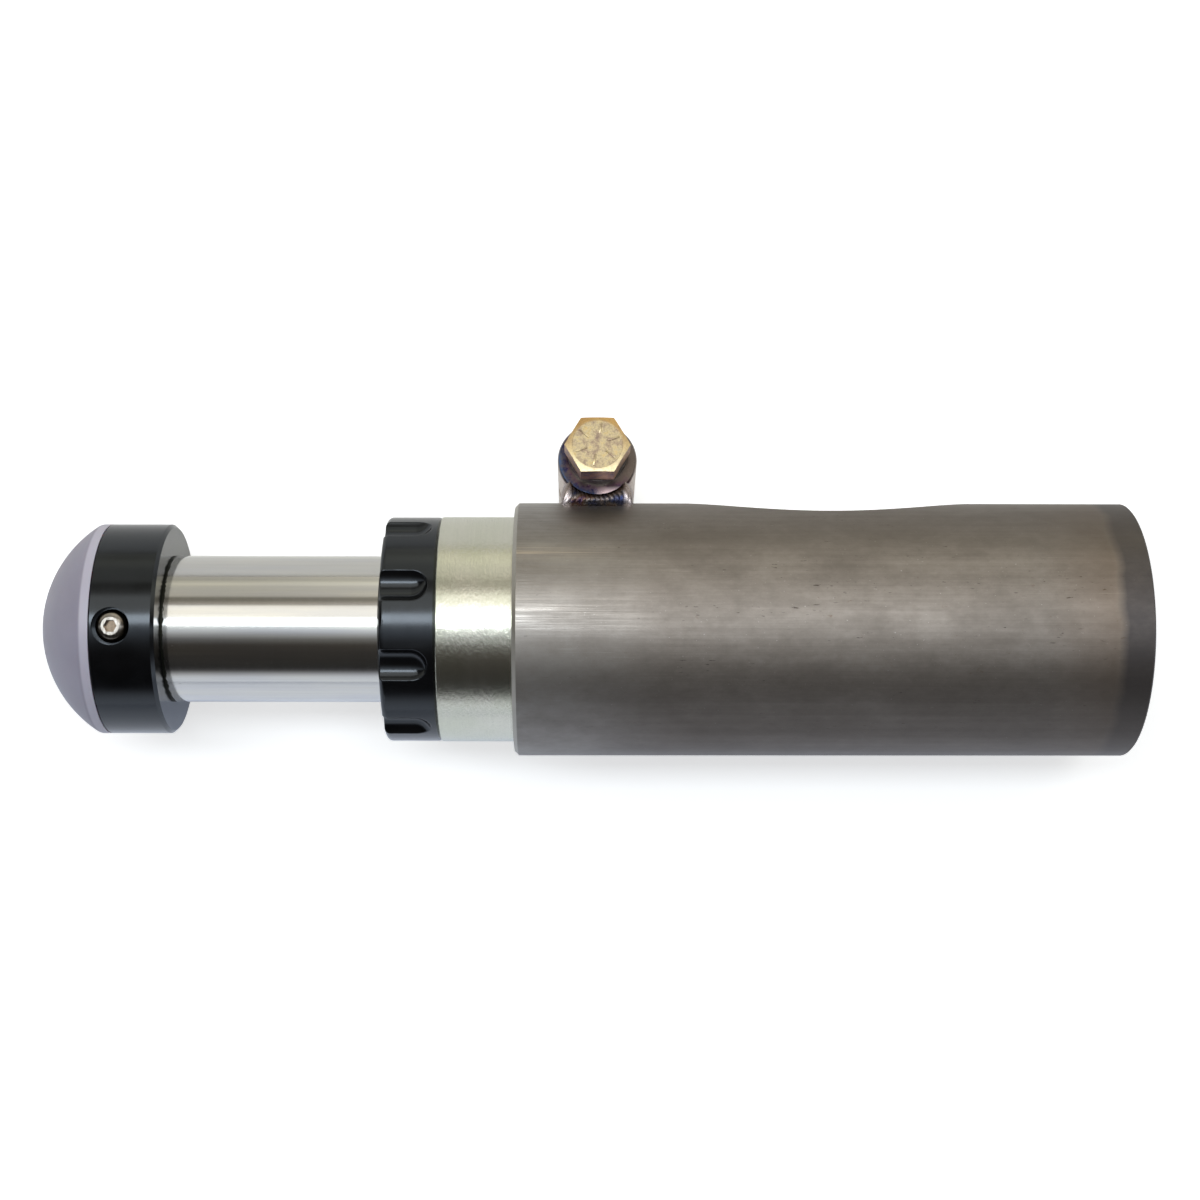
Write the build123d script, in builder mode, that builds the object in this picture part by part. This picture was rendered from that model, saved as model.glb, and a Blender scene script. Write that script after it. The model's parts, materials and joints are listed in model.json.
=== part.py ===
"""Hydraulic bump stop held in a weld-on clamp can.

The shaft's axis is X. The strike pad faces -X and the can's base is at X = 0, with the origin at
the centre of that base. +Z is up as the part lies on a bench, where it rests on the can and on
the end of the pinch bolt, so the clamp boss points along +Y, rolled a little below the axis.
All sizes are in millimetres. Diameters and lengths are driving dimensions; stations along the
axis start with x_ and are worked out from them.
"""
from build123d import *
from math import asin, atan2, cos, degrees, hypot, sin
import os

# How closely an edge has to match a station and a radius
match_tolerance = 0.0001

# Clearances, on the radius or between two faces
can_clearance = 0.10
running_clearance = 0.08
seated_clearance = 0.03
seat_gap = 0.3

# Damper body, a plated steel tube
body_diameter = 63.5
body_wall = 3.15
body_exposed = 20.8
body_edge_chamfer = 0.5

# Clamp can, a raw steel tube split along one side
can_length = 171.4
can_wall = 3.85
can_mouth_chamfer = 1.1
can_base_chamfer = 0.4
slit_width = 4.8
window_length = 96.0
window_width = 44.2
window_to_base = 35.7

# Ring welded inside the can's base
end_ring_inset = 2.0
end_ring_thickness = 6.0
end_ring_bore = 31.75
end_ring_weld_leg = 1.8

# Clamp boss, a rod welded across the slit and sawn in two by it
boss_diameter = 22.225
boss_length = 38.1
boss_sink = 2.76
boss_to_mouth = 23.0
boss_edge_chamfer = 0.5
boss_bolt_clearance = 0.4
weld_on_boss = 1.2
weld_on_can = 3.6
weld_past_face = 3.2
weld_to_slit = 0.6
weld_end_fillet = 2.9

# Pinch bolt and its lock washer
bolt_diameter = 11.1125
bolt_length = 44.45
bolt_offset = 0.95
bolt_head_flats = 15.875
bolt_head_height = 7.14
bolt_face_height = 0.4
bolt_face_inset = 0.24
bolt_end_chamfer = 1.0
washer_diameter = 16.6
washer_thickness = 2.77
washer_split = 1.6

# Notched seal head, screwed into the body's mouth
flange_width = 15.0
flange_step_in = 0.15
flange_front_fillet = 1.5
flange_back_chamfer = 0.4
neck_length = 30.0
notch_count = 9
notch_clock = 27.1
notch_cutter = 5.56
notch_depth = 2.5
notch_floor = 1.8
notch_edge_fillet = 0.4

# Seals and bush inside the seal head
wiper_section = 4.6
wiper_width = 6.0
wiper_lip = 1.2
gland_start = 9.0
seal_section = 4.8
seal_width = 7.0
seal_notch = 1.4
backup_width = 2.0
bush_wall = 1.6
bush_length = 16.0
bush_inset = 2.5
cord_section = 3.2
cord_groove_width = 4.2
cord_fillet = 0.8
neck_groove_inset = 7.0

# Shaft, a chromed tube
shaft_diameter = 41.275
shaft_wall = 4.76
stroke = 50.8
cap_rest_gap = 9.4
plug_length = 25.0
shaft_edge_chamfer = 0.5

# Strike pad and its cap
cap_diameter = 59.0
cap_width = 17.5
cap_recess_depth = 10.0
cap_seat_depth = 4.0
cap_back_chamfer = 0.9
cap_seam_chamfer = 0.4
pad_spigot_diameter = 48.0
pad_dome_height = 16.25
pad_rim_width = 2.65
pad_shoulder_fillet = 2.1
pad_end_gap = 0.4
cap_bolt_diameter = 10.0
cap_bolt_head = 18.0
cap_bolt_head_height = 6.0
cap_bolt_length = 22.0
cap_bolt_hex_flats = 6.0
cap_bolt_hex_depth = 3.6
cap_bolt_pocket_gap = 0.8

# Radial button-head screws that hold the pad in its cap
screw_count = 3
screw_clock = 87.7
screw_to_seam = 6.0
screw_diameter = 4.83
screw_length = 9.5
screw_head_diameter = 9.17
screw_head_height = 2.6
screw_head_inset = 0.1
screw_land_diameter = 4.9
screw_hex_flats = 3.175
screw_hex_depth = 1.6
screw_crown_height = 0.35
screw_sink_diameter = 10.2

# Piston, shims and the bolt that holds them on the shaft
bumper_thickness = 5.0
bumper_diameter = 53.0
bumper_fillet = 1.25
stop_plate_thickness = 2.5
stop_plate_diameter = 54.0
spacer_thickness = 1.5
spacer_diameter = 30.0
shim_thickness = 0.5
rebound_shim_diameters = (36.0, 44.0, 52.0)
compression_shim_diameters = (52.0, 44.0, 36.0)
piston_length = 14.0
port_count = 8
port_diameter = 5.2
port_circle_diameter = 43.0
band_width = 9.0
band_thickness = 2.0
band_split = 1.5
band_clearance = 0.05
piston_clearance = 0.25
clamp_washer_thickness = 2.5
piston_bolt_diameter = 16.0
piston_bolt_length = 46.0
piston_bolt_head_flats = 24.0
piston_bolt_head_height = 10.0

# Body end cap, its ring and the charging valve
snap_ring_inset = 4.0
snap_ring_thickness = 2.0
snap_ring_width = 4.5
snap_ring_gap = 7.2
snap_groove_depth = 1.5
end_cap_length = 16.0
end_cap_groove_inset = 5.0
valve_pocket_diameter = 22.0
valve_pocket_depth = 8.0
valve_hex_flats = 12.7
valve_hex_height = 5.0
valve_stem_diameter = 7.7
valve_stem_height = 9.8
valve_root_diameter = 9.5
valve_root_length = 7.0
valve_bore = 4.6
core_length = 12.0
core_inset = 0.8
pin_diameter = 1.6
pin_head_diameter = 2.6
pin_head_height = 0.8
valve_pin_travel = 1.2
valve_cap_diameter = 10.0
valve_cap_top = 1.2
valve_cap_lift = 1.5
valve_cap_fillet = 0.95

# Radii and stations that follow from the sizes above
body_radius = body_diameter / 2
bore_radius = body_radius - body_wall
can_bore_radius = body_radius + can_clearance
can_radius = can_bore_radius + can_wall
shaft_radius = shaft_diameter / 2
shaft_bore_radius = shaft_radius - shaft_wall
cap_radius = cap_diameter / 2
spigot_radius = pad_spigot_diameter / 2
flange_radius = body_radius - flange_step_in
neck_radius = bore_radius - seated_clearance
gland_radius = shaft_radius + running_clearance
ring_radius = can_bore_radius - seated_clearance
bolt_radius = bolt_diameter / 2
cap_bolt_radius = cap_bolt_diameter / 2
piston_bolt_radius = piston_bolt_diameter / 2
piston_radius = bore_radius - piston_clearance
screw_hole = screw_diameter / 2 + running_clearance
screw_sink = screw_sink_diameter / 2
screw_top = cap_radius - screw_head_inset
screw_seat = screw_top - screw_head_height

x_mouth = -can_length
x_ring_outer = -end_ring_inset
x_ring_inner = x_ring_outer - end_ring_thickness
x_body_base = x_ring_inner - seat_gap
x_body_mouth = x_mouth - body_exposed
x_head_front = x_body_mouth - flange_width
x_neck_end = x_body_mouth + neck_length
x_cap_back = x_head_front - stroke - cap_rest_gap
x_seam = x_cap_back - cap_width
x_recess_floor = x_seam + cap_recess_depth
x_shaft_outer = x_cap_back - cap_seat_depth
x_bumper = x_neck_end + seat_gap
x_shaft_inner = x_bumper + bumper_thickness
x_spacer = x_shaft_inner + stop_plate_thickness
x_rebound_shims = x_spacer + spacer_thickness
x_piston = x_rebound_shims + shim_thickness * len(rebound_shim_diameters)
x_compression_shims = x_piston + piston_length
x_clamp_washer = x_compression_shims + shim_thickness * len(compression_shim_diameters)
x_piston_bolt = x_clamp_washer + clamp_washer_thickness
x_snap_ring = x_body_base - snap_ring_inset - snap_ring_thickness
x_end_cap = x_snap_ring - end_cap_length
x_pocket_floor = x_snap_ring - valve_pocket_depth
x_valve_stem = x_pocket_floor + valve_hex_height
x_valve_tip = x_valve_stem + valve_stem_height
x_core = x_valve_tip - core_inset - core_length
x_pin_tip = x_core + core_length + valve_pin_travel + seat_gap
x_valve_cap = x_valve_stem + valve_cap_lift
valve_cap_height = x_pin_tip + pin_head_height + seat_gap + valve_cap_top - x_valve_cap
x_seal = x_head_front + gland_start
x_bush = x_neck_end - bush_inset - bush_length

# Clamp geometry: the part rolls until the bolt's lower corner touches the bench beside the can
boss_to_axis = can_radius + boss_diameter / 2 - boss_sink
bolt_to_axis = boss_to_axis + bolt_offset
boss_x = x_mouth + boss_to_mouth
bolt_seat = boss_length / 2 + washer_thickness
bolt_drop = bolt_length - bolt_seat
bolt_reach = bolt_to_axis + bolt_diameter / 2 - bolt_end_chamfer
roll = degrees(asin(can_radius / hypot(bolt_reach, bolt_drop)) - atan2(bolt_drop, bolt_reach))
clamp_plane = Plane.XY.rotated((-roll, 0, 0))
window_plane = Plane(origin=(0, 0, 0), x_dir=(1, 0, 0), z_dir=clamp_plane.y_dir)
bolt_origin = clamp_plane.from_local_coords((boss_x, bolt_to_axis, 0))
bolt_plane = Plane(origin=bolt_origin, x_dir=(1, 0, 0), z_dir=clamp_plane.y_dir * -1)


def turn(points, mode=Mode.ADD, plane=Plane.XY, axis=Axis.X):
    """Turn a closed outline about an axis; by default it is (x, radius) points about the shaft's axis."""
    with BuildSketch(plane) as outline:
        with BuildLine():
            Polyline(*points, close=True)
        make_face()
    revolve(outline.sketch, axis=axis, mode=mode)


def turn_ring(x_start, length, inner_radius, outer_radius, mode=Mode.ADD):
    """Turn a plain ring about the shaft's axis, or a disc where the inner radius is zero."""
    x_end = x_start + length
    turn([(x_start, inner_radius), (x_end, inner_radius),
          (x_end, outer_radius), (x_start, outer_radius)], mode)


def turn_fastener(plane, points, mode=Mode.ADD):
    """Turn an outline of (radius, height) points about the local Y axis of a plane."""
    turn(points, mode, plane, Axis(plane.origin, plane.y_dir))


def rim(part, x, radius):
    """The circular edges of a turned part at a station and a radius."""
    circles = part.edges().filter_by(GeomType.CIRCLE)
    return [edge for edge in circles
            if abs(edge.arc_center.X - x) < match_tolerance and abs(edge.radius - radius) < match_tolerance]


def hexagon(flats):
    """A hexagon by its width across flats, in the open sketch."""
    RegularPolygon(flats / 3 ** 0.5, 6)


def make_can_tube():
    with BuildPart() as can_tube:
        turn_ring(x_mouth, can_length, can_bore_radius, can_radius)
        chamfer(rim(can_tube, x_mouth, can_radius), can_mouth_chamfer)
        chamfer(rim(can_tube, 0, can_radius), can_base_chamfer)
        window_x = -window_to_base - window_length / 2
        with BuildSketch(window_plane):
            with Locations((window_x, 0)):
                Ellipse(window_length / 2, window_width / 2)
        extrude(amount=can_radius + can_wall, mode=Mode.SUBTRACT)
        slit_length = window_x - x_mouth
        with BuildSketch(window_plane):
            with Locations((x_mouth + slit_length / 2, 0)):
                Rectangle(slit_length, slit_width)
        extrude(amount=can_radius + can_wall, mode=Mode.SUBTRACT)
    return can_tube.part


def make_can_end_ring():
    with BuildPart() as can_end_ring:
        turn_ring(x_ring_inner, end_ring_thickness, end_ring_bore / 2, ring_radius)
        chamfer(rim(can_end_ring, x_ring_outer, end_ring_bore / 2), can_base_chamfer)
    return can_end_ring.part


def make_end_ring_weld():
    with BuildPart() as end_ring_weld:
        toe = (x_ring_outer + end_ring_weld_leg, ring_radius)
        turn([(x_ring_outer, ring_radius), (x_ring_outer, ring_radius - end_ring_weld_leg), toe])
    return end_ring_weld.part


def make_clamp_boss(side, hole_radius):
    """One half of the boss: side is 1 under the bolt's head and -1 for the threaded half."""
    with BuildPart() as clamp_boss:
        with BuildSketch(clamp_plane.offset(side * slit_width / 2)):
            with Locations((boss_x, boss_to_axis)):
                Circle(boss_diameter / 2)
        extrude(amount=side * (boss_length - slit_width) / 2)
        chamfer(end_face(clamp_boss, side).edges(), boss_edge_chamfer)
        with BuildSketch(clamp_plane):
            with Locations((boss_x, bolt_to_axis)):
                Circle(hole_radius)
        extrude(amount=side * boss_length, mode=Mode.SUBTRACT)
        turn_ring(x_mouth, can_length, 0, can_radius + seated_clearance, Mode.SUBTRACT)
    return clamp_boss.part


def end_face(part, side):
    """The face of a clamp piece that lies furthest out along the pinch bolt."""
    return part.faces().sort_by(Axis((0, 0, 0), clamp_plane.z_dir * side))[-1]


def make_boss_weld(side):
    """The fillet weld round one half of the boss, between the rod and the can."""
    with BuildPart() as boss_weld:
        start = slit_width / 2 + weld_to_slit
        reach = boss_length / 2 + weld_past_face
        with BuildSketch(clamp_plane.offset(side * start)):
            with Locations((boss_x, boss_to_axis)):
                Circle(boss_diameter / 2 + weld_on_boss)
        extrude(amount=side * (reach - start))
        fillet(end_face(boss_weld, side).edges(), weld_end_fillet)
        with BuildSketch(Plane.YZ.offset(x_mouth)):
            Circle(can_radius + weld_on_can)
        extrude(amount=can_length, mode=Mode.INTERSECT)
        turn_ring(x_mouth, can_length, 0, can_radius + seated_clearance, Mode.SUBTRACT)
        with BuildSketch(clamp_plane):
            with Locations((boss_x, boss_to_axis)):
                Circle(boss_diameter / 2 + seated_clearance)
        extrude(amount=side * (boss_length / 2 + seated_clearance), mode=Mode.SUBTRACT)
    return boss_weld.part


def make_pinch_bolt():
    corner = bolt_head_flats / 3 ** 0.5
    face_radius = bolt_head_flats / 2 - bolt_face_inset
    head_base = bolt_seat + bolt_face_height
    head_top = bolt_seat + bolt_head_height
    chamfer_drop = (corner - face_radius) / 3 ** 0.5
    shank_end = bolt_seat - bolt_length
    with BuildPart() as pinch_bolt:
        with BuildSketch(clamp_plane.offset(head_base)):
            with Locations((boss_x, bolt_to_axis)):
                hexagon(bolt_head_flats)
        extrude(amount=head_top - head_base)
        turn_fastener(bolt_plane, [(0, head_base), (corner, head_base), (corner, head_top - chamfer_drop),
                                   (face_radius, head_top), (0, head_top)], Mode.INTERSECT)
        turn_fastener(bolt_plane, [(0, head_base), (face_radius, head_base), (face_radius, bolt_seat),
                                   (bolt_radius, bolt_seat), (bolt_radius, shank_end + bolt_end_chamfer),
                                   (bolt_radius - bolt_end_chamfer, shank_end), (0, shank_end)])
    return pinch_bolt.part


def make_lock_washer():
    with BuildPart() as lock_washer:
        with BuildSketch(clamp_plane.offset(boss_length / 2)):
            with Locations((boss_x, bolt_to_axis)):
                Circle(washer_diameter / 2)
                Circle(bolt_radius + running_clearance, mode=Mode.SUBTRACT)
            with Locations((boss_x, bolt_to_axis + washer_diameter / 2)):
                Rectangle(washer_split, washer_diameter, mode=Mode.SUBTRACT)
        extrude(amount=washer_thickness)
    return lock_washer.part


def make_body_tube():
    with BuildPart() as body_tube:
        turn_ring(x_body_mouth, x_body_base - x_body_mouth, bore_radius, body_radius)
        turn_ring(x_snap_ring, snap_ring_thickness, bore_radius, bore_radius + snap_groove_depth, Mode.SUBTRACT)
        chamfer(rim(body_tube, x_body_mouth, body_radius) + rim(body_tube, x_body_base, body_radius),
                body_edge_chamfer)
    return body_tube.part


def make_snap_ring():
    """The retaining ring, open where it was squeezed to go in."""
    with BuildPart() as snap_ring:
        outer = bore_radius + snap_groove_depth - running_clearance
        inner = bore_radius - snap_ring_width + snap_groove_depth
        turn_ring(x_snap_ring + seated_clearance, snap_ring_thickness - 2 * seated_clearance, inner, outer)
        with BuildSketch(Plane.YZ.offset(x_snap_ring)):
            with Locations((0, outer)):
                Rectangle(snap_ring_gap, 2 * snap_ring_width)
        extrude(amount=snap_ring_thickness, mode=Mode.SUBTRACT)
    return snap_ring.part


def cut_cord_groove(x_start, outer_radius):
    """Cut the groove of a seal cord into a turned plug."""
    floor = bore_radius - cord_section
    turn_ring(x_start, cord_groove_width, floor, outer_radius + running_clearance, Mode.SUBTRACT)


def make_seal_cord(x_start):
    """A rubber ring squeezed between the floor of its groove and the body's bore."""
    with BuildPart() as seal_cord:
        x_cord = x_start + (cord_groove_width - cord_section) / 2
        turn_ring(x_cord, cord_section, bore_radius - cord_section + seated_clearance,
                  bore_radius - seated_clearance)
        fillet(seal_cord.edges().filter_by(GeomType.CIRCLE), cord_fillet)
    return seal_cord.part


def make_body_end_cap():
    with BuildPart() as body_end_cap:
        turn_ring(x_end_cap, end_cap_length, 0, neck_radius)
        cut_cord_groove(x_end_cap + end_cap_groove_inset, neck_radius)
        turn_ring(x_pocket_floor, valve_pocket_depth, 0, valve_pocket_diameter / 2, Mode.SUBTRACT)
        turn_ring(x_end_cap, end_cap_length, 0, valve_root_diameter / 2 + seated_clearance, Mode.SUBTRACT)
    return body_end_cap.part


def make_valve_stem():
    with BuildPart() as valve_stem:
        root_radius = valve_root_diameter / 2
        turn_ring(x_pocket_floor - valve_root_length, valve_root_length, 0, root_radius)
        with BuildSketch(Plane.YZ.offset(x_pocket_floor)):
            hexagon(valve_hex_flats)
        extrude(amount=valve_hex_height)
        turn_ring(x_valve_stem, valve_stem_height, 0, valve_stem_diameter / 2)
        turn_ring(x_pocket_floor - valve_root_length, x_valve_tip - x_pocket_floor + valve_root_length,
                  0, valve_bore / 2, Mode.SUBTRACT)
    return valve_stem.part


def make_valve_core():
    """The barrel screwed into the stem, with a bore for its pin."""
    with BuildPart() as valve_core:
        core_radius = valve_bore / 2 - seated_clearance
        turn_ring(x_core, core_length, pin_diameter / 2 + running_clearance, core_radius)
    return valve_core.part


def make_valve_pin():
    """The sprung pin: pressed towards the gas, its seat leaves the core's inner end."""
    with BuildPart() as valve_pin:
        seat_radius = valve_bore / 2 - seat_gap
        x_seat = x_core - seat_gap - pin_head_height
        turn_ring(x_seat, pin_head_height, 0, seat_radius)
        turn_ring(x_seat, x_pin_tip - x_seat, 0, pin_diameter / 2)
        turn_ring(x_pin_tip, pin_head_height, 0, pin_head_diameter / 2)
    return valve_pin.part


def make_valve_cap():
    with BuildPart() as valve_cap:
        outer = valve_cap_diameter / 2
        turn_ring(x_valve_cap, valve_cap_height, 0, outer)
        turn_ring(x_valve_cap, valve_cap_height - valve_cap_top, 0, valve_stem_diameter / 2 + running_clearance,
                  Mode.SUBTRACT)
        fillet(rim(valve_cap, x_valve_cap + valve_cap_height, outer), valve_cap_fillet)
    return valve_cap.part


def make_seal_head():
    with BuildPart() as seal_head:
        turn_ring(x_head_front, flange_width, gland_radius + wiper_lip, flange_radius)
        fillet(rim(seal_head, x_head_front, flange_radius), flange_front_fillet)
        chamfer(rim(seal_head, x_body_mouth, flange_radius), flange_back_chamfer)
        turn_ring(x_body_mouth, neck_length, gland_radius + wiper_lip, neck_radius)
        cut_cord_groove(x_neck_end - neck_groove_inset, neck_radius)
        turn_ring(x_head_front, wiper_width, 0, gland_radius + wiper_section, Mode.SUBTRACT)
        turn_ring(x_seal, seal_width + backup_width, 0, gland_radius + seal_section, Mode.SUBTRACT)
        turn_ring(x_bush, bush_length, 0, gland_radius + bush_wall, Mode.SUBTRACT)
        cut_notches()
        fillet(notch_edges(seal_head), notch_edge_fillet)
    return seal_head.part


def cut_notches():
    """Spanner notches round the flange, milled along the shaft with a ball-ended cutter."""
    centre_radius = flange_radius + notch_cutter - notch_depth
    half_mouth = (notch_cutter ** 2 - (notch_cutter - notch_depth) ** 2) ** 0.5
    x_ball = x_body_mouth - notch_floor - half_mouth
    with BuildSketch(Plane.YZ.offset(x_head_front)) as cutters:
        with PolarLocations(centre_radius, notch_count, notch_clock):
            Circle(notch_cutter)
    extrude(cutters.sketch, amount=x_ball - x_head_front, mode=Mode.SUBTRACT)
    with Locations(Plane.YZ.offset(x_ball)):
        with PolarLocations(centre_radius, notch_count, notch_clock):
            Sphere(notch_cutter, mode=Mode.SUBTRACT)


def notch_edges(seal_head):
    """The edges where the notches break through the flange's outside, without its seam."""
    seam = flange_width - flange_front_fillet - flange_back_chamfer
    found = []
    for edge in seal_head.edges():
        points = [edge.position_at(share) for share in (0, 0.5, 1)]
        outside = all(abs(hypot(point.Y, point.Z) - flange_radius) < match_tolerance for point in points)
        if outside and edge.geom_type != GeomType.CIRCLE and abs(edge.length - seam) > match_tolerance:
            found.append(edge)
    return found


def make_wiper_seal():
    with BuildPart() as wiper_seal:
        inner = gland_radius
        outer = gland_radius + wiper_section - seated_clearance
        lip = x_head_front + wiper_width / 2
        turn([(x_head_front + seat_gap, outer), (x_head_front + wiper_width - seated_clearance, outer),
              (x_head_front + wiper_width - seated_clearance, inner), (lip, inner + wiper_lip),
              (x_head_front - wiper_lip, inner), (x_head_front - wiper_lip, inner + wiper_lip / 2)])
    return wiper_seal.part


def make_shaft_seal():
    """A U-shaped ring whose lips open towards the pressure."""
    with BuildPart() as shaft_seal:
        inner = gland_radius
        outer = gland_radius + seal_section - seated_clearance
        middle = (inner + outer) / 2
        x_start = x_seal + backup_width
        x_lips = x_start + seal_width - seated_clearance
        turn([(x_start, inner), (x_start, outer), (x_lips, outer), (x_lips, middle + seal_notch),
              (x_start + seal_width / 2, middle), (x_lips, middle - seal_notch), (x_lips, inner)])
    return shaft_seal.part


def make_backup_ring():
    with BuildPart() as backup_ring:
        turn_ring(x_seal + seated_clearance, backup_width - seated_clearance, gland_radius,
                  gland_radius + seal_section - seated_clearance)
    return backup_ring.part


def make_shaft_bush():
    with BuildPart() as shaft_bush:
        turn_ring(x_bush + seated_clearance, bush_length - 2 * seated_clearance, gland_radius,
                  gland_radius + bush_wall - seated_clearance)
    return shaft_bush.part


def make_shaft_tube():
    with BuildPart() as shaft_tube:
        turn_ring(x_shaft_outer, x_shaft_inner - x_shaft_outer, shaft_bore_radius, shaft_radius)
        chamfer(rim(shaft_tube, x_shaft_outer, shaft_radius), shaft_edge_chamfer)
    return shaft_tube.part


def make_shaft_plug(x_start, hole_radius):
    """A plug pressed into one end of the shaft, threaded for the bolt that ends there."""
    with BuildPart() as shaft_plug:
        turn_ring(x_start, plug_length, hole_radius, shaft_bore_radius - seated_clearance)
    return shaft_plug.part


def make_pad_cap():
    with BuildPart() as pad_cap:
        turn_ring(x_seam, cap_width, 0, cap_radius)
        chamfer(rim(pad_cap, x_cap_back, cap_radius), cap_back_chamfer)
        chamfer(rim(pad_cap, x_seam, cap_radius), cap_seam_chamfer)
        turn_ring(x_seam, cap_recess_depth, 0, spigot_radius + running_clearance, Mode.SUBTRACT)
        turn_ring(x_shaft_outer, cap_seat_depth, 0, shaft_radius + seated_clearance, Mode.SUBTRACT)
        turn_ring(x_seam, cap_width, 0, cap_bolt_radius + running_clearance, Mode.SUBTRACT)
        for plane in screw_planes():
            turn_fastener(plane, [(0, 0), (screw_hole, 0), (screw_hole, screw_seat), (screw_sink, screw_seat),
                                  (screw_sink, cap_diameter), (0, cap_diameter)], Mode.SUBTRACT)
    return pad_cap.part


def screw_planes():
    """One plane for each pad screw, on the shaft's axis, with local Y pointing out along the screw."""
    x_screw = x_seam + screw_to_seam
    turns = [screw_clock + 360 / screw_count * index for index in range(screw_count)]
    return [Plane((x_screw, 0, 0), x_dir=(1, 0, 0), z_dir=(0, 0, 1)).rotated((turn_angle, 0, 0))
            for turn_angle in turns]


def make_pad_screws():
    """Button-head screws in one group, with domed heads and hexagon sockets."""
    screws = []
    radius = screw_head_diameter / 2
    land = screw_land_diameter / 2
    crown = ((radius + land) / 2 + screw_crown_height, (screw_seat + screw_top) / 2 + screw_crown_height)
    for plane in screw_planes():
        with BuildPart() as screw:
            turn_fastener(plane, [(0, screw_seat - screw_length), (screw_diameter / 2, screw_seat - screw_length),
                                  (screw_diameter / 2, screw_seat), (0, screw_seat)])
            with BuildSketch(plane):
                with BuildLine():
                    Polyline((land, screw_top), (0, screw_top), (0, screw_seat), (radius, screw_seat))
                    ThreePointArc((radius, screw_seat), crown, (land, screw_top))
                make_face()
            revolve(axis=Axis(plane.origin, plane.y_dir))
            socket_plane = Plane(plane.origin + plane.y_dir * screw_top, x_dir=plane.x_dir, z_dir=plane.y_dir)
            with BuildSketch(socket_plane):
                hexagon(screw_hex_flats)
            extrude(amount=-screw_hex_depth, mode=Mode.SUBTRACT)
        screws.append(screw.part)
    return Compound(children=screws)


def make_cap_bolt():
    """Low-headed socket screw that holds the cap on the shaft."""
    with BuildPart() as cap_bolt:
        head_radius = cap_bolt_head / 2
        turn_ring(x_recess_floor - cap_bolt_head_height, cap_bolt_head_height, 0, head_radius)
        turn_ring(x_recess_floor, cap_bolt_length, 0, cap_bolt_radius)
        with BuildSketch(Plane.YZ.offset(x_recess_floor - cap_bolt_head_height)):
            hexagon(cap_bolt_hex_flats)
        extrude(amount=cap_bolt_hex_depth, mode=Mode.SUBTRACT)
    return cap_bolt.part


def make_strike_pad():
    """Domed plastic pad with a spigot that plugs into the cap."""
    with BuildPart() as strike_pad:
        x_shoulder = x_seam - pad_rim_width
        x_tip = x_shoulder - pad_dome_height
        slant = (cap_radius ** 2 + pad_dome_height ** 2) ** 0.5
        dome_radius = slant ** 2 / (2 * pad_dome_height)
        half_turn = asin(cap_radius / dome_radius) / 2
        crown = (x_tip + dome_radius * (1 - cos(half_turn)), dome_radius * sin(half_turn))
        with BuildSketch(Plane.XY):
            with BuildLine():
                ThreePointArc((x_tip, 0), crown, (x_shoulder, cap_radius))
                Polyline((x_shoulder, cap_radius), (x_seam, cap_radius), (x_seam, 0), (x_tip, 0))
            make_face()
        revolve(axis=Axis.X)
        fillet(rim(strike_pad, x_shoulder, cap_radius), pad_shoulder_fillet)
        spigot_end = x_recess_floor - pad_end_gap
        turn_ring(x_seam, spigot_end - x_seam, 0, spigot_radius)
        pocket = cap_bolt_head_height + cap_bolt_pocket_gap
        turn_ring(x_recess_floor - pocket, pocket, 0, cap_bolt_head / 2 + cap_bolt_pocket_gap, Mode.SUBTRACT)
        for plane in screw_planes():
            turn_fastener(plane, [(0, screw_seat - screw_length - seat_gap),
                                  (screw_hole, screw_seat - screw_length - seat_gap),
                                  (screw_hole, cap_radius), (0, cap_radius)], Mode.SUBTRACT)
    return strike_pad.part


def make_top_out_bumper():
    with BuildPart() as top_out_bumper:
        turn_ring(x_bumper, bumper_thickness, shaft_radius + seated_clearance, bumper_diameter / 2)
        fillet(rim(top_out_bumper, x_bumper, bumper_diameter / 2), bumper_fillet)
    return top_out_bumper.part


def make_stack_plate(x_start, thickness, diameter):
    """A flat washer on the piston bolt."""
    with BuildPart() as stack_plate:
        turn_ring(x_start, thickness, piston_bolt_radius + running_clearance, diameter / 2)
    return stack_plate.part


def make_shims(x_start, diameters):
    """A stack of thin valve shims, in one group."""
    starts = [x_start + shim_thickness * index for index in range(len(diameters))]
    return Compound(children=[make_stack_plate(start, shim_thickness, diameter)
                              for start, diameter in zip(starts, diameters)])


def make_piston():
    with BuildPart() as piston:
        turn_ring(x_piston, piston_length, piston_bolt_radius + running_clearance, piston_radius)
        x_groove = x_piston + (piston_length - band_width) / 2
        turn_ring(x_groove, band_width, bore_radius - band_thickness, bore_radius, Mode.SUBTRACT)
        with BuildSketch(Plane.YZ.offset(x_piston)):
            with PolarLocations(port_circle_diameter / 2, port_count):
                Circle(port_diameter / 2)
        extrude(amount=piston_length, mode=Mode.SUBTRACT)
    return piston.part


def make_piston_band():
    """A split plastic ring that runs on the body's bore."""
    with BuildPart() as piston_band:
        x_groove = x_piston + (piston_length - band_width) / 2
        turn_ring(x_groove + running_clearance, band_width - 2 * running_clearance,
                  bore_radius - band_thickness + running_clearance, bore_radius - band_clearance)
        with BuildSketch(Plane.YZ.offset(x_groove)):
            with Locations((0, bore_radius)):
                Rectangle(band_split, band_thickness * 3)
        extrude(amount=band_width, mode=Mode.SUBTRACT)
    return piston_band.part


def make_piston_bolt():
    with BuildPart() as piston_bolt:
        turn_ring(x_piston_bolt - piston_bolt_length, piston_bolt_length, 0, piston_bolt_radius)
        with BuildSketch(Plane.YZ.offset(x_piston_bolt)):
            hexagon(piston_bolt_head_flats)
        extrude(amount=piston_bolt_head_height)
    return piston_bolt.part


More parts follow.
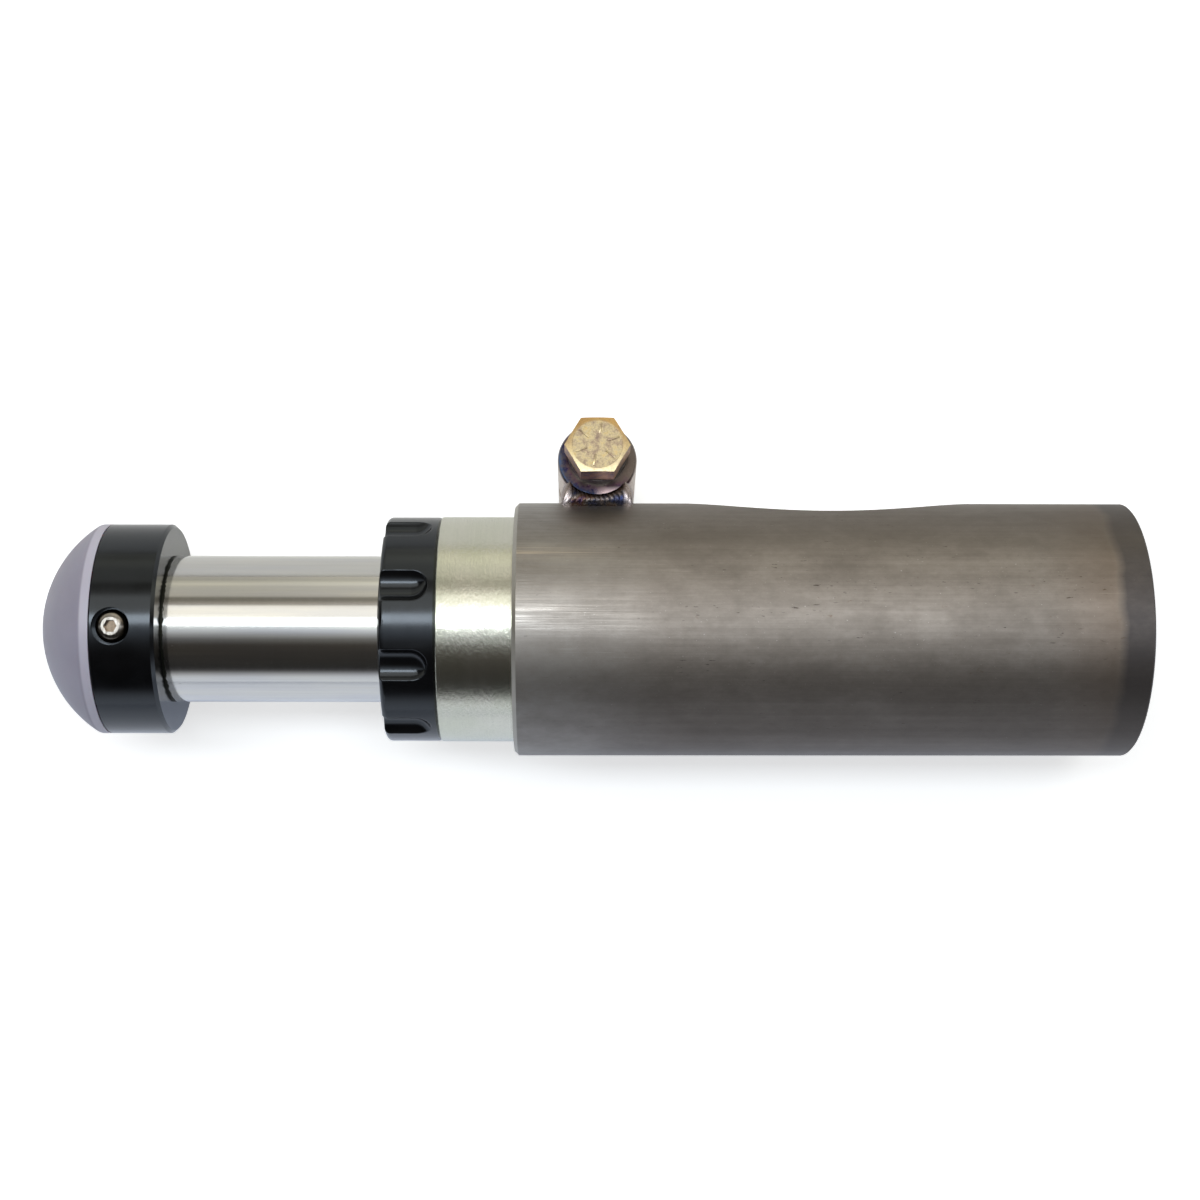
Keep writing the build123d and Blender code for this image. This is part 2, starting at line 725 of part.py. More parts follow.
def make_parts():
    """Every piece of the bump stop by its name."""
    return {
        "can_tube": make_can_tube(),
        "can_end_ring": make_can_end_ring(),
        "end_ring_weld": make_end_ring_weld(),
        "clamp_boss_near": make_clamp_boss(1, bolt_radius + boss_bolt_clearance),
        "clamp_boss_far": make_clamp_boss(-1, bolt_radius + seated_clearance),
        "boss_weld_near": make_boss_weld(1),
        "boss_weld_far": make_boss_weld(-1),
        "pinch_bolt": make_pinch_bolt(),
        "lock_washer": make_lock_washer(),
        "body_tube": make_body_tube(),
        "body_end_cap": make_body_end_cap(),
        "end_cap_seal": make_seal_cord(x_end_cap + end_cap_groove_inset),
        "snap_ring": make_snap_ring(),
        "valve_stem": make_valve_stem(),
        "valve_core": make_valve_core(),
        "valve_pin": make_valve_pin(),
        "valve_cap": make_valve_cap(),
        "seal_head": make_seal_head(),
        "seal_head_seal": make_seal_cord(x_neck_end - neck_groove_inset),
        "wiper_seal": make_wiper_seal(),
        "shaft_seal": make_shaft_seal(),
        "backup_ring": make_backup_ring(),
        "shaft_bush": make_shaft_bush(),
        "shaft_tube": make_shaft_tube(),
        "cap_end_plug": make_shaft_plug(x_shaft_outer, cap_bolt_radius + seated_clearance),
        "piston_end_plug": make_shaft_plug(x_shaft_inner - plug_length, piston_bolt_radius + seated_clearance),
        "pad_cap": make_pad_cap(),
        "pad_screws": make_pad_screws(),
        "cap_bolt": make_cap_bolt(),
        "strike_pad": make_strike_pad(),
        "top_out_bumper": make_top_out_bumper(),
        "stop_plate": make_stack_plate(x_shaft_inner, stop_plate_thickness, stop_plate_diameter),
        "shim_spacer": make_stack_plate(x_spacer, spacer_thickness, spacer_diameter),
        "rebound_shims": make_shims(x_rebound_shims, rebound_shim_diameters),
        "piston": make_piston(),
        "piston_band": make_piston_band(),
        "compression_shims": make_shims(x_compression_shims, compression_shim_diameters),
        "clamp_washer": make_stack_plate(x_clamp_washer, clamp_washer_thickness, spacer_diameter),
        "piston_bolt": make_piston_bolt(),
    }


os.makedirs("parts", exist_ok=True)
for name, part in make_parts().items():
    part.label = name
    export_step(part, f"parts/{name}.step")
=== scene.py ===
"""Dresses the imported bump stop: weld beads, bolt, finishes, studio light and the camera.

Everything is in metres, in the part's own frame: the shaft's axis is X, the strike pad faces -X,
the can's base is at X = 0 and +Z is up from the bench.
"""

from math import cos, pi, radians, sin, sqrt, tan

import bpy
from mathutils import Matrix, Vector
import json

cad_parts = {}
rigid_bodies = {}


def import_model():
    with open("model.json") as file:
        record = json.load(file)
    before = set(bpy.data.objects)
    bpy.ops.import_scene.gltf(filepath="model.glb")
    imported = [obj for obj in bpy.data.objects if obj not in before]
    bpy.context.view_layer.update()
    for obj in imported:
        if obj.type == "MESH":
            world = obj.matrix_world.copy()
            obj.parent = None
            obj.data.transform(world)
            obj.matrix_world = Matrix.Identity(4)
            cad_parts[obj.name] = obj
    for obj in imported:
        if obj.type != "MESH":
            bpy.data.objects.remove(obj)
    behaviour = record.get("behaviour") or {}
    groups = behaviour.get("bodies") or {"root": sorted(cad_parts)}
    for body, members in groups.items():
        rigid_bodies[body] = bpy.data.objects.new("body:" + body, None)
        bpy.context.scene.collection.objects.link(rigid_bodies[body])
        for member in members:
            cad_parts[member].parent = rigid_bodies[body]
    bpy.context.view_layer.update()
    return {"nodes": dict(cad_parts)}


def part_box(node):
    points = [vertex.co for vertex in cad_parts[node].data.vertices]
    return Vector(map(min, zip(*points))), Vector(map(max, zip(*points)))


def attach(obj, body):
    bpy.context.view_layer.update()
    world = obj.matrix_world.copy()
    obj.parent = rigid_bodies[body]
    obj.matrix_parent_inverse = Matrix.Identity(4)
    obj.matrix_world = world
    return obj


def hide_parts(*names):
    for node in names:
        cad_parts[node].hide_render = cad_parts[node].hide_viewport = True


for leftover in list(bpy.data.objects):
    bpy.data.objects.remove(leftover)

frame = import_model()

mm = 0.001

# Sizes read from the frame
can_low, can_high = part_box("can_tube")
boss_low, boss_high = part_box("clamp_boss_near")
cap_low, cap_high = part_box("pad_cap")
can_radius = can_high.z
can_mouth = can_low.x
bench = can_low.z
boss_x = (boss_low.x + boss_high.x) / 2
boss_radius = (boss_high.x - boss_low.x) / 2

# The clamp, as in the part's source
clamp_roll = radians(16.4)
boss_to_axis = 44.05 * mm
boss_half = 19.05 * mm
slit_half = 2.4 * mm
across = Vector((1, 0, 0))
outward = Vector((0, cos(clamp_roll), -sin(clamp_roll)))
along_bolt = Vector((0, sin(clamp_roll), cos(clamp_roll)))


# Meshes

def new_piece(name, points, faces, body, finish, smooth_angle=radians(35)):
    """A mesh piece that rides on a body, with its finish."""
    mesh = bpy.data.meshes.new(name)
    mesh.from_pydata([tuple(point) for point in points], [], faces)
    mesh.validate()
    mesh.polygons.foreach_set("use_smooth", [True] * len(mesh.polygons))
    mesh.set_sharp_from_angle(angle=smooth_angle)
    piece = bpy.data.objects.new(name, mesh)
    bpy.context.scene.collection.objects.link(piece)
    mesh.materials.append(finish)
    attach(piece, body)
    return piece


def tube_faces(rings, around):
    """Quads between rings of points, joined round each ring, with the two ends capped."""
    faces = []
    for ring in range(rings - 1):
        for step in range(around):
            a = ring * around + step
            b = ring * around + (step + 1) % around
            faces.append((a, b, b + around, a + around))
    faces.append(tuple(reversed(range(around))))
    faces.append(tuple(range((rings - 1) * around, rings * around)))
    return faces


def clamp_point(x, u, t):
    """A point by its distance in X from the boss, outward from the can's axis, and along the bolt."""
    return across * (boss_x + x) + outward * u + along_bolt * t


# Weld beads

bead_half_width = 10.3 * mm
bead_end_half_width = 0.93 * bead_half_width
bead_narrowing = 0.6 * mm
bead_start = slit_half + 0.7 * mm
bead_turn = boss_half - 1.6 * mm
bead_reach = 18.2 * mm
bead_boss_angle = radians(54)
bead_end_angle = radians(50)
bead_face_inset = 0.9 * mm
bead_crown = 0.55 * mm
bead_root = 2.2 * mm
bead_heart = Vector((0, 33.0 * mm, 8.0 * mm))
bead_ripple = 1.35 * mm
bead_ripple_height = 0.17 * mm
bead_ripple_lag = 0.8
bead_steps_per_ripple = 9
bead_across = 14
bead_flank_stations = 6
bead_end_stations = 9


def can_height(t):
    """How far the can's surface is from its axis along the boss's outward direction, at t."""
    return sqrt(can_radius ** 2 - t ** 2)


def bead_flank():
    """Pairs of toes up one side of the boss, on the boss and on the can, as (x, u, t)."""
    stations = []
    toe_x = -boss_radius * sin(bead_boss_angle)
    toe_height = boss_to_axis - boss_radius * cos(bead_boss_angle)
    for step in range(bead_flank_stations):
        share = step / (bead_flank_stations - 1)
        t = bead_start + (bead_turn - bead_start) * share
        can_toe = (-bead_half_width + bead_narrowing * share ** 2, can_height(t), t)
        stations.append(((toe_x, toe_height, t), can_toe))
    return stations


def bead_end():
    """Pairs of toes round the boss's end face."""
    stations = []
    face_radius = boss_radius - bead_face_inset
    for step in range(bead_end_stations):
        angle = bead_end_angle * (2 * step / (bead_end_stations - 1) - 1)
        boss_toe = (face_radius * sin(angle), boss_to_axis - face_radius * cos(angle), boss_half)
        x = bead_end_half_width * sin(angle) / sin(bead_end_angle)
        stations.append((boss_toe, (x, can_height(bead_reach), bead_reach)))
    return stations


def bead_stations():
    """Pairs of toes all the way along a bead: up one side, round the end and back."""
    flank = bead_flank()
    other_flank = [((-b[0], b[1], b[2]), (-c[0], c[1], c[2])) for b, c in reversed(flank)]
    return flank + bead_end() + other_flank


def smooth_path(points, spacing, steps_per_span=24):
    """Points of a Catmull-Rom curve through the given ones, evenly spaced along it."""
    dense = []
    last = len(points) - 1
    for i in range(last):
        p0, p1, p2, p3 = (points[max(i - 1, 0)], points[i], points[i + 1], points[min(i + 2, last)])
        for step in range(steps_per_span):
            f = step / steps_per_span
            dense.append(0.5 * (2 * p1 + (p2 - p0) * f + (2 * p0 - 5 * p1 + 4 * p2 - p3) * f ** 2
                                + (3 * p1 - p0 - 3 * p2 + p3) * f ** 3))
    dense.append(points[last].copy())
    lengths = [0.0]
    for a, b in zip(dense, dense[1:]):
        lengths.append(lengths[-1] + (b - a).length)
    count = max(2, round(lengths[-1] / spacing))
    result = []
    j = 0
    for k in range(count + 1):
        target = lengths[-1] * k / count
        while j < len(dense) - 2 and lengths[j + 1] < target:
            j += 1
        span = lengths[j + 1] - lengths[j]
        f = (target - lengths[j]) / span if span else 0
        result.append(dense[j].lerp(dense[j + 1], f))
    return result


def bead_ring(path, k):
    """The bead's section at one step of its path: a rippled crown from toe to toe, and its root."""
    boss_toe = Vector(path[k][0:3])
    can_toe = Vector(path[k][3:6])
    middle = (boss_toe + can_toe) / 2
    ahead = path[min(k + 1, len(path) - 1)]
    behind = path[max(k - 1, 0)]
    travel = Vector(ahead[0:3]) + Vector(ahead[3:6]) - Vector(behind[0:3]) - Vector(behind[3:6])
    normal = travel.cross(boss_toe - can_toe).normalized()
    if normal.dot(middle - bead_heart) < 0:
        normal = -normal
    ring = []
    for step in range(bead_across):
        v = step / (bead_across - 1)
        crescent = 4 * v * (1 - v)
        ripple = abs(sin(pi * (k / bead_steps_per_ripple - bead_ripple_lag * crescent))) ** 0.7
        lift = bead_crown * sin(pi * v) ** 0.8 + bead_ripple_height * ripple * crescent
        ring.append(boss_toe.lerp(can_toe, v) + normal * lift)
    ring.append(middle - normal * bead_root)
    return ring


def weld_bead(name, node, side, finish):
    """One rippled fillet bead round a boss half, replacing the frame's plain weld."""
    # Both toes travel in one six-part point, so its path is about sqrt(2) times as long as the bead
    joined = [Vector((*boss_toe, *can_toe)) for boss_toe, can_toe in bead_stations()]
    path = smooth_path(joined, bead_ripple / bead_steps_per_ripple * sqrt(2))
    points = []
    for k in range(len(path)):
        points += [clamp_point(p.x, p.y, p.z * side) for p in bead_ring(path, k)]
    faces = tube_faces(len(path), bead_across + 1)
    if side < 0:
        faces = [tuple(reversed(face)) for face in faces]
    bead = new_piece(name, points, faces, "clamp_can", finish, radians(60))
    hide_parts(node)


# Pinch bolt

bolt_to_axis = 45.0 * mm
bolt_flats = 15.875 * mm
bolt_radius = 5.556 * mm
bolt_face_radius = 7.15 * mm
bolt_face_dish = 0.06 * mm
bolt_chamfer_slope = tan(radians(14))
bolt_head_top = 28.96 * mm
bolt_head_base = 22.22 * mm
bolt_seat = 21.82 * mm
bolt_tip = -22.63 * mm
bolt_tip_chamfer = 1.0 * mm
thread_start = 6.0 * mm
thread_pitch = 25.4 * mm / 14
thread_depth = 0.95 * mm
thread_crest_share = 0.12
thread_rows_per_turn = 12
pole_radius = 0.0005 * mm
bolt_steps = 144
bolt_angles = [2 * pi * step / bolt_steps for step in range(bolt_steps)]


def hexagon_radius(angle):
    """The head's radius at an angle; a flat faces the can."""
    turned = (angle + pi / 2) % (pi / 3)
    return bolt_flats / 2 / cos(min(turned, pi / 3 - turned))


def round_ring(radius, t):
    """A level circle of the bolt, as a radius and a height for each angle."""
    return [(radius, t)] * bolt_steps


def bolt_head_rings():
    """Rings from the middle of the dished face, over the chamfer, down to the start of the thread."""
    dish = bolt_head_top - bolt_face_dish
    hexagon = [hexagon_radius(a) for a in bolt_angles]
    return [
        round_ring(pole_radius, dish),
        round_ring(bolt_face_radius - 4 * bolt_face_dish, dish),
        round_ring(bolt_face_radius - 2 * bolt_face_dish, bolt_head_top),
        round_ring(bolt_face_radius, bolt_head_top),
        [(radius, bolt_head_top - (radius - bolt_face_radius) * bolt_chamfer_slope) for radius in hexagon],
        [(radius, bolt_head_base) for radius in hexagon],
        round_ring(bolt_face_radius, bolt_head_base),
        round_ring(bolt_face_radius, bolt_seat),
        round_ring(bolt_radius, bolt_seat),
        round_ring(bolt_radius, thread_start),
    ]


def bolt_thread_rings():
    """Rings down the thread, each point set in by its place on the helix, to the chamfered tip."""
    rings = []
    rows = round((thread_start - bolt_tip) / thread_pitch * thread_rows_per_turn)
    for row in range(1, rows + 1):
        t = thread_start + (bolt_tip - thread_start) * row / rows
        limit = min(bolt_radius, bolt_radius - bolt_tip_chamfer + (t - bolt_tip))
        fade = min(1, (thread_start - t) / thread_pitch)
        ring = []
        for a in bolt_angles:
            turn = (t / thread_pitch + a / (2 * pi)) % 1
            valley = max(0, 1 - abs(turn - 0.5) * 2 - thread_crest_share) / (1 - thread_crest_share)
            ring.append((min(limit, bolt_radius - thread_depth * valley * fade), t))
        rings.append(ring)
    rings.append(round_ring(pole_radius, bolt_tip))
    return rings


def pinch_bolt(finish):
    """The hexagon bolt with its chamfered head, dished face and cut thread."""
    rings = bolt_head_rings() + bolt_thread_rings()
    points = []
    for ring in rings:
        for a, (radius, t) in zip(bolt_angles, ring):
            points.append(clamp_point(radius * cos(a), bolt_to_axis + radius * sin(a), t))
    faces = tube_faces(len(rings), bolt_steps)
    bolt = new_piece("pinch_bolt_dressed", points, faces, "clamp_can", finish, radians(25))
    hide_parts("pinch_bolt")


mark_count = 6
first_mark = radians(20)
mark_inner = 3.0 * mm
mark_outer = 6.5 * mm
mark_width = 0.62 * mm
mark_height = 0.16 * mm
# Each level of a mark: its height, and how far its outline is drawn in as a share of the width
mark_levels = ((-mark_height, 0), (0.6 * mark_height, 0.12), (mark_height, 0.3))


def bolt_marks(finish):
    """Raised radial strokes on the bolt's head, the sign of a high-strength bolt."""
    points = []
    faces = []
    for k in range(mark_count):
        a = first_mark + 2 * pi * k / mark_count
        ray = Vector((cos(a), sin(a)))
        side = Vector((-sin(a), cos(a)))
        base = len(points)
        for height, shrink in mark_levels:
            w = mark_width / 2 * (1 - shrink)
            low = mark_inner + shrink * mark_width
            high = mark_outer - shrink * mark_width
            for along, sideways in ((low, -w), (high, -w), (high, w), (low, w)):
                flat = ray * along + side * sideways
                points.append(clamp_point(flat.x, bolt_to_axis + flat.y, bolt_head_top + height))
        for level in (0, 4):
            for step in range(4):
                a0 = base + level + step
                a1 = base + level + (step + 1) % 4
                faces.append((a0, a1, a1 + 4, a0 + 4))
        faces.append((base + 3, base + 2, base + 1, base))
        faces.append((base + 8, base + 9, base + 10, base + 11))
    new_piece("pinch_bolt_marks", points, faces, "clamp_can", finish)


# Tools for the finishes

def srgb(red, green, blue):
    """A colour given as 0 to 255 display values, in linear light."""
    linear = []
    for value in (red, green, blue):
        c = value / 255
        linear.append(c / 12.92 if c <= 0.04045 else ((c + 0.055) / 1.055) ** 2.4)
    return (*linear, 1)


def grey(value):
    """A grey in linear light."""
    return (value, value, value, 1)


class Nodes:
    """A shader node tree; each method adds a node and hands back its output."""

    def __init__(self, tree, coordinates):
        self.tree = tree
        self.place = self.add("TexCoord").outputs[coordinates]

    def add(self, kind, inputs=None, **settings):
        node = self.tree.nodes.new("ShaderNode" + kind)
        for key, value in settings.items():
            setattr(node, key, value)
        for key, value in (inputs or {}).items():
            if isinstance(value, bpy.types.NodeSocket):
                self.tree.links.new(value, node.inputs[key])
            else:
                node.inputs[key].default_value = value
        return node

    def math(self, operation, a, b=0.0):
        return self.add("Math", {0: a, 1: b}, operation=operation).outputs[0]

    def plus(self, a, b):
        return self.math("ADD", a, b)

    def minus(self, a, b):
        return self.math("SUBTRACT", a, b)

    def times(self, a, b):
        return self.math("MULTIPLY", a, b)

    def size(self, a):
        return self.math("ABSOLUTE", a)

    def distance(self, a, b):
        """The length of a line with these two parts at right angles."""
        return self.math("SQRT", self.plus(self.times(a, a), self.times(b, b)))

    def xyz(self):
        outputs = self.add("SeparateXYZ", {0: self.place}).outputs
        return outputs[0], outputs[1], outputs[2]

    def dot(self, direction):
        return self.add("VectorMath", {0: self.place, 1: tuple(direction)},
                        operation="DOT_PRODUCT").outputs["Value"]

    def noise(self, x, y, z, detail=3.0, roughness=0.5):
        """Noise with a frequency per metre along each axis."""
        stretched = self.add("VectorMath", {0: self.place, 1: (x, y, z)}, operation="MULTIPLY").outputs[0]
        return self.add("TexNoise", {"Vector": stretched, "Scale": 1.0, "Detail": detail,
                                     "Roughness": roughness}).outputs["Fac"]

    def wander(self, reach, noise):
        """A signed drift with the noise, half of reach at most either way."""
        return self.times(self.minus(noise, 0.5), reach)

    def spread(self, value, low, high, to_low=0.0, to_high=1.0):
        """Maps a range of a value onto another, held at its ends."""
        return self.add("MapRange", {0: value, 1: low, 2: high, 3: to_low, 4: to_high}).outputs[0]

    def mix(self, factor, a, b):
        return self.add("Mix", {0: factor, 6: a, 7: b}, data_type="RGBA").outputs[2]

    def ramp(self, value, *stops):
        node = self.add("ValToRGB", {0: value})
        elements = node.color_ramp.elements
        while len(elements) < len(stops):
            elements.new(0.5)
        for element, (position, colour) in zip(elements, stops):
            element.position = position
            element.color = colour
        return node.outputs[0]


class Finish(Nodes):
    """One procedural material, in the piece's own coordinates."""

    def __init__(self, name, **constants):
        self.material = bpy.data.materials.new(name)
        self.material.use_nodes = True
        super().__init__(self.material.node_tree, "Object")
        self.shader = self.tree.nodes["Principled BSDF"]
        for socket, value in constants.items():
            self.shader.inputs[socket.replace("_", " ")].default_value = value

    def paint(self, colour, roughness=None):
        self.tree.links.new(colour, self.shader.inputs["Base Color"])
        if roughness is not None:
            self.tree.links.new(roughness, self.shader.inputs["Roughness"])

    def bump(self, height, distance, strength=1.0):
        node = self.add("Bump", {"Height": height, "Distance": distance, "Strength": strength})
        self.tree.links.new(node.outputs[0], self.shader.inputs["Normal"])


def around_boss(f, to_axis):
    """Distances from a line along the boss: outward of it, beside it in X, and straight from it."""
    above = f.minus(f.dot(outward), to_axis)
    beside = f.minus(f.xyz()[0], boss_x)
    return above, beside, f.distance(above, beside)


# The can's raw steel, where its marks start and end, in X or across in Y

# The worn mouth, lightened partly as a painted highlight, fades out by here
wear_and_highlight_end = can_mouth + 42 * mm
scratched_end = can_mouth + 60 * mm
clean_edge_end = can_mouth + 1.25 * mm
rub_end = can_mouth + 34 * mm
rub_y = 21.3 * mm
rub_half_width = 2.0 * mm
brown_start = -30 * mm
brown_end = -6 * mm
heat_start = -9.8 * mm
tint_wander = 3 * mm


def mill_scale(f, streak, fine_streak, mottle):
    """Warm grey in lengthwise streaks and blotches."""
    blotch = f.noise(330, 600, 600, detail=4, roughness=0.7)
    tone = f.plus(f.times(streak, 0.22), f.times(mottle, 0.50))
    tone = f.plus(tone, f.plus(f.times(fine_streak, 0.10), f.times(blotch, 0.18)))
    return f.ramp(tone, (0.38, srgb(131, 123, 115)), (0.50, srgb(144, 136, 128)),
                  (0.62, srgb(158, 150, 142)))


def specks(f, colour):
    """Rust spots, fields of dark pits and pale flecks."""
    rust = f.spread(f.noise(260, 420, 420, detail=4, roughness=0.7), 0.66, 0.74)
    colour = f.mix(f.times(rust, 0.5), colour, srgb(112, 86, 64))
    pit = f.spread(f.noise(330, 1500, 1500, detail=3, roughness=0.6), 0.67, 0.71)
    pit_field = f.spread(f.noise(26, 130, 130, detail=2), 0.47, 0.60)
    colour = f.mix(f.times(pit, f.times(pit_field, 0.75)), colour, srgb(58, 48, 42))
    fleck = f.spread(f.noise(1300, 1900, 1900, detail=2), 0.72, 0.76)
    return f.mix(f.times(fleck, 0.6), colour, srgb(196, 192, 186))


def fine_scratches(f, x):
    """Where the steel is scratched lengthwise, mostly towards the mouth."""
    scratch = f.spread(f.noise(60, 5200, 5200, detail=2), 0.66, 0.74)
    patch = f.spread(f.noise(45, 150, 150, detail=2), 0.52, 0.66)
    near_mouth = f.spread(x, scratched_end, can_mouth + 4 * mm)
    return f.times(f.times(scratch, patch), f.plus(near_mouth, 0.25))


def base_heat(f, colour, tinted_x, mottle):
    """Brown, then dark grey, where the weld in the base heated the can."""
    near_base = f.spread(tinted_x, brown_start, brown_end)
    brown = f.ramp(near_base, (0.0, grey(0)), (0.8, grey(0.45)), (1.0, grey(0.2)))
    colour = f.mix(brown, colour, srgb(124, 104, 86))
    heat = f.spread(tinted_x, heat_start, heat_start + 2.6 * mm)
    heat = f.times(heat, f.spread(mottle, 0.35, 0.65, 0.92, 0.78))
    return f.mix(heat, colour, srgb(80, 76, 77))


def painted_side_shade(f, colour, y, mottle):
    """Painted shade: the steel is darkened down the near side and along the far side."""
    painted_near_shade = f.spread(f.plus(y, f.times(mottle, 8 * mm)), -2 * mm, -16 * mm, 0.0, 0.55)
    colour = f.mix(painted_near_shade, colour, srgb(96, 90, 84))
    colour = f.mix(f.spread(y, -20 * mm, -27 * mm, 0.0, 0.5), colour, srgb(80, 72, 66))
    return f.mix(f.spread(y, 19 * mm, 25 * mm, 0.0, 0.5), colour, srgb(104, 96, 86))


def rubbed_streak(f, x, y, wander, fine_streak):
    """Where a warm streak was rubbed bright along the can from its mouth."""
    from_rub = f.size(f.minus(f.plus(y, f.times(wander, 0.5)), rub_y))
    rub = f.times(f.spread(from_rub, rub_half_width, 0.2 * mm), f.spread(x, rub_end, can_mouth + 8 * mm))
    return f.times(rub, f.spread(fine_streak, 0.42, 0.58, 0.1, 0.7))


def raw_steel():
    """Drawn tube with mill scale, specks, a worn mouth also lightened as a painted highlight, painted shade
    down its sides and a heat tint by the base weld.
    """
    f = Finish("raw_steel_finish", Metallic=1.0, Coat_Weight=0.3, Coat_Roughness=0.45)
    x, y, z = f.xyz()
    streak = f.noise(9, 420, 420, detail=6, roughness=0.65)
    fine_streak = f.noise(40, 2400, 2400, detail=3, roughness=0.6)
    mottle = f.noise(60, 90, 90, detail=7, roughness=0.68)
    grain = f.noise(2600, 2600, 2600, detail=2)
    scratch = fine_scratches(f, x)
    wander = f.wander(tint_wander, f.noise(40, 120, 120, detail=3))
    tinted_x = f.plus(x, wander)
    wear_and_highlight = f.spread(tinted_x, wear_and_highlight_end, can_mouth + 2 * mm)

    colour = specks(f, mill_scale(f, streak, fine_streak, mottle))
    colour = f.mix(f.times(scratch, 0.8), colour, srgb(205, 198, 188))
    colour = base_heat(f, colour, tinted_x, mottle)
    # Painted shade down the near and far sides of the can
    colour = painted_side_shade(f, colour, y, mottle)
    # Lighter towards the mouth: partly real wear, partly a painted highlight where the lamp's reflection is
    # brightest
    colour = f.mix(f.times(wear_and_highlight, f.spread(mottle, 0.3, 0.7, 0.35, 0.75)), colour, srgb(168, 165, 161))
    colour = f.mix(rubbed_streak(f, x, y, wander, fine_streak), colour, srgb(190, 176, 160))
    colour = f.mix(f.spread(x, clean_edge_end, clean_edge_end - 0.35 * mm), colour, srgb(176, 172, 164))

    rough = f.spread(f.plus(f.times(mottle, 0.5), f.times(streak, 0.5)), 0.3, 0.7, 0.60, 0.50)
    rough = f.minus(rough, f.times(scratch, 0.1))
    polished = f.times(wear_and_highlight, f.spread(y, -3 * mm, 1 * mm))
    rough = f.minus(rough, f.times(polished, f.spread(fine_streak, 0.45, 0.6, 0.06, 0.26)))
    f.paint(colour, rough)
    f.bump(f.plus(grain, f.times(fine_streak, 0.4)), 0.03 * mm, 0.5)
    return f.material


# The other finishes

def boss_steel():
    """Bright turned rod, tinted straw, purple and blue by the heat of its welds, with a painted
    pinkish-white highlight low on its end face.
    """
    f = Finish("boss_steel_finish", Metallic=1.0)
    above, beside, from_centre = around_boss(f, boss_to_axis)
    wander = f.wander(6 * mm, f.noise(220, 220, 220, detail=4))
    mottle = f.noise(900, 900, 900, detail=4, roughness=0.65)

    heat = f.spread(f.plus(above, wander), -boss_radius, boss_radius)
    side = f.ramp(heat, (0.03, srgb(70, 80, 110)), (0.10, srgb(96, 98, 150)), (0.17, srgb(150, 120, 130)),
                  (0.25, srgb(214, 200, 196)), (0.60, srgb(212, 206, 202)))

    rim = f.spread(f.plus(from_centre, f.times(wander, 0.5)), boss_radius - 3.6 * mm, boss_radius)
    near_weld = f.spread(f.plus(above, f.times(beside, 0.8)), 3 * mm, -7 * mm)
    face = f.ramp(f.times(rim, near_weld), (0.05, srgb(112, 102, 96)), (0.25, srgb(92, 68, 84)),
                  (0.45, srgb(60, 52, 84)), (0.70, srgb(46, 56, 88)), (0.95, srgb(84, 108, 148)))
    face = f.mix(f.spread(mottle, 0.4, 0.62, 0.0, 0.6), face, srgb(104, 94, 86))
    # Painted highlight: pinkish white low on the end face, where its edge bevel would catch the lamp
    painted_bevel_highlight = f.times(f.spread(beside, -1 * mm, 2.5 * mm), f.spread(above, -7.8 * mm, -9.6 * mm))
    face = f.mix(painted_bevel_highlight, face, srgb(238, 218, 226))

    on_face = f.spread(f.size(f.dot(along_bolt)), boss_half - 0.5 * mm, boss_half - 0.1 * mm)
    colour = f.mix(on_face, side, face)
    colour = f.mix(f.spread(mottle, 0.4, 0.75, 0.0, 0.16), colour, srgb(96, 88, 84))
    f.paint(colour, f.spread(mottle, 0.3, 0.7, 0.26, 0.36))
    f.bump(mottle, 0.012 * mm, 0.25)
    return f.material


def weld_metal():
    """Rippled bead in dark grey with blue, purple and straw tints, paler beside the boss."""
    f = Finish("weld_metal_finish", Metallic=1.0)
    x, y, z = f.xyz()
    tint = f.noise(260, 260, 260, detail=3, roughness=0.6)
    colour = f.ramp(tint, (0.30, srgb(40, 46, 74)), (0.42, srgb(58, 56, 62)), (0.50, srgb(86, 78, 74)),
                    (0.58, srgb(74, 54, 44)), (0.70, srgb(52, 42, 72)))
    flanks = f.spread(f.size(f.minus(x, boss_x)), 7.0 * mm, 8.6 * mm)
    at_boss = f.spread(x, can_mouth + 45 * mm, can_mouth + 40 * mm, 0.0, 0.7)
    colour = f.mix(f.times(flanks, at_boss), colour, srgb(196, 184, 182))
    grain = f.noise(2200, 2200, 2200, detail=3)
    f.paint(colour, f.spread(grain, 0.3, 0.7, 0.2, 0.38))
    f.bump(grain, 0.03 * mm, 0.4)
    return f.material


def zinc_plate():
    """Bright zinc over turned steel: fine rings, a faint yellow-green cast and dull speckle."""
    f = Finish("zinc_plate_finish", Metallic=1.0)
    rings = f.noise(5200, 30, 30, detail=4, roughness=0.7)
    broad = f.noise(420, 25, 25, detail=3)
    speckle = f.noise(1500, 1500, 1500, detail=3, roughness=0.7)
    cast = f.noise(90, 60, 60, detail=3)
    sparkle = f.noise(1700, 560, 560, detail=4, roughness=0.7)
    colour = f.ramp(cast, (0.35, srgb(211, 212, 194)), (0.65, srgb(220, 218, 204)))
    colour = f.mix(f.spread(speckle, 0.45, 0.75, 0.0, 0.35), colour, srgb(180, 181, 168))
    colour = f.mix(f.spread(rings, 0.35, 0.7, 0.0, 0.25), colour, srgb(188, 189, 174))
    f.paint(colour, f.spread(f.plus(f.times(rings, 0.6), f.times(broad, 0.4)), 0.3, 0.7, 0.16, 0.25))
    f.bump(f.plus(f.times(rings, 0.2), sparkle), 0.09 * mm)
    return f.material


